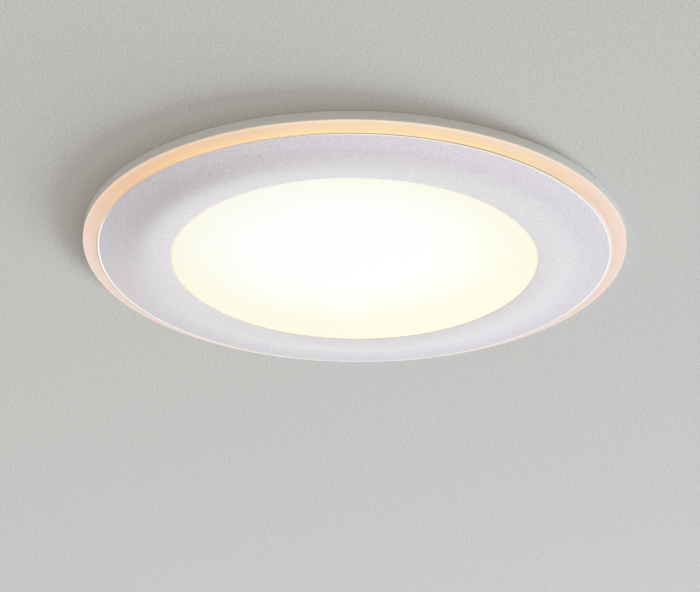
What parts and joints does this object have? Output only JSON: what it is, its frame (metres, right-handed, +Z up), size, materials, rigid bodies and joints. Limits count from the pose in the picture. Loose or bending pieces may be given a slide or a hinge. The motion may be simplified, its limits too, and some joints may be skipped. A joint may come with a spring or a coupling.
{
  "type": "recessed downlight",
  "caption": "Recessed ceiling downlight: opal disc in a satin trim, warm glowing edge ring, finned heat sink, folding spring clips and a driver case with a hinged wiring cover.",
  "frame": {"origin": "centre of the collar on the flange's ceiling face, which is the visible ceiling surface", "axes": "+Z up into the ceiling void, lit face down along -Z; X through the spring clips; the mains cable enters along +Y from the -Y end"},
  "size_m": [0.159, 0.145, 0.0668],
  "materials": {
    "satin_trim_paint": "satin metallic paint on die-cast aluminium",
    "opal_diffuser": "opal polycarbonate, lit",
    "halo_acrylic": "clear-tinted acrylic, lit warm",
    "flange_paint": "white powder coat on die-cast aluminium",
    "zinc_screws": "zinc plate",
    "led_board_white": "white solder mask on an aluminium core board",
    "led_packages": "phosphor in white packages",
    "thermal_silicone": "soft filled silicone",
    "reflector_white": "white polycarbonate",
    "cast_aluminium": "die-cast, fine blasted",
    "zinc_steel": "zinc-plated sheet",
    "pin_steel": "bright drawn",
    "spring_steel": "drawn spring wire",
    "case_plastic": "white flame-retardant polycarbonate, fine texture",
    "grommet_rubber": "black rubber",
    "clamp_plastic": "black nylon",
    "driver_board_green": "glass-epoxy board with green mask",
    "transformer_tape": "yellow tape over windings",
    "capacitor_sleeve": "shrunk sleeve",
    "copper_winding": "enamelled copper wire",
    "chip_black": "moulded epoxy",
    "terminal_plastic": "grey polyamide",
    "tinned_brass": "tin plate",
    "lead_insulation": "heat-resistant insulation",
    "sleeve_silicone": "translucent silicone",
    "button_plastic": "orange polyamide"
  },
  "bodies": {
    "lamp": {"front_trim": "satin_trim_paint", "main_diffuser": "opal_diffuser", "halo_light_guide": "halo_acrylic", "mounting_flange": "flange_paint", "trim_screws": "zinc_screws", "halo_led_board": "led_board_white", "halo_leds": "led_packages", "main_led_board": "led_board_white", "main_leds": "led_packages", "thermal_pad": "thermal_silicone", "board_screws": "zinc_screws", "reflector": "reflector_white", "heat_sink": "cast_aluminium", "heat_sink_screws": "zinc_screws", "clip_bracket_right": "zinc_steel", "clip_bracket_left": "zinc_steel", "clip_pin_right": "pin_steel", "clip_pin_left": "pin_steel", "clip_spring_right": "spring_steel", "clip_spring_left": "spring_steel", "bracket_screws": "zinc_screws", "driver_base": "case_plastic", "driver_base_screws": "zinc_screws", "cable_grommet": "grommet_rubber", "lead_grommets": "grommet_rubber", "cable_clamp": "clamp_plastic", "clamp_screws": "zinc_screws", "driver_board": "driver_board_green", "driver_board_screws": "zinc_screws", "driver_transformer": "transformer_tape", "driver_capacitors": "capacitor_sleeve", "driver_choke": "copper_winding", "driver_chips": "chip_black", "terminal_block": "terminal_plastic", "terminal_pins": "tinned_brass", "driver_lid": "case_plastic", "lid_screws": "zinc_screws", "cover_hinge_pin": "pin_steel", "main_leads": "lead_insulation", "halo_leads": "lead_insulation"},
    "right_clip": {"clip_arm_right": "zinc_steel", "clip_sleeve_right": "sleeve_silicone"},
    "left_clip": {"clip_arm_left": "zinc_steel", "clip_sleeve_left": "sleeve_silicone"},
    "wiring_cover": {"terminal_cover": "case_plastic"},
    "live_button": {"release_button_live": "button_plastic"},
    "neutral_button": {"release_button_neutral": "button_plastic"}
  },
  "joints": [
    {"name": "right_clip_fold", "type": "hinge", "parent": "lamp", "child": "right_clip", "pos_m": [0.044, 0, 0.028], "axis": [0, -1, 0], "range_deg": [-20, 108], "stiffness_Nm_per_rad": 0.12, "springref_deg": -45.84, "deforming": ["clip_spring_right"]},
    {"name": "left_clip_fold", "type": "hinge", "parent": "lamp", "child": "left_clip", "pos_m": [-0.044, 0, 0.028], "axis": [0, 1, 0], "range_deg": [-20, 108], "stiffness_Nm_per_rad": 0.12, "springref_deg": -45.84, "deforming": ["clip_spring_left"]},
    {"name": "wiring_cover_hinge", "type": "hinge", "parent": "lamp", "child": "wiring_cover", "pos_m": [0, -0.012, 0.0579], "axis": [-1, 0, 0], "range_deg": [0, 115]},
    {"name": "live_release", "type": "slide", "parent": "lamp", "child": "live_button", "axis": [0, 0, -1], "range_m": [0, 0.0012], "stiffness_N_per_m": 400, "springref_m": -0.003},
    {"name": "neutral_release", "type": "slide", "parent": "lamp", "child": "neutral_button", "axis": [0, 0, -1], "range_m": [0, 0.0012], "stiffness_N_per_m": 400, "springref_m": -0.003}
  ]
}
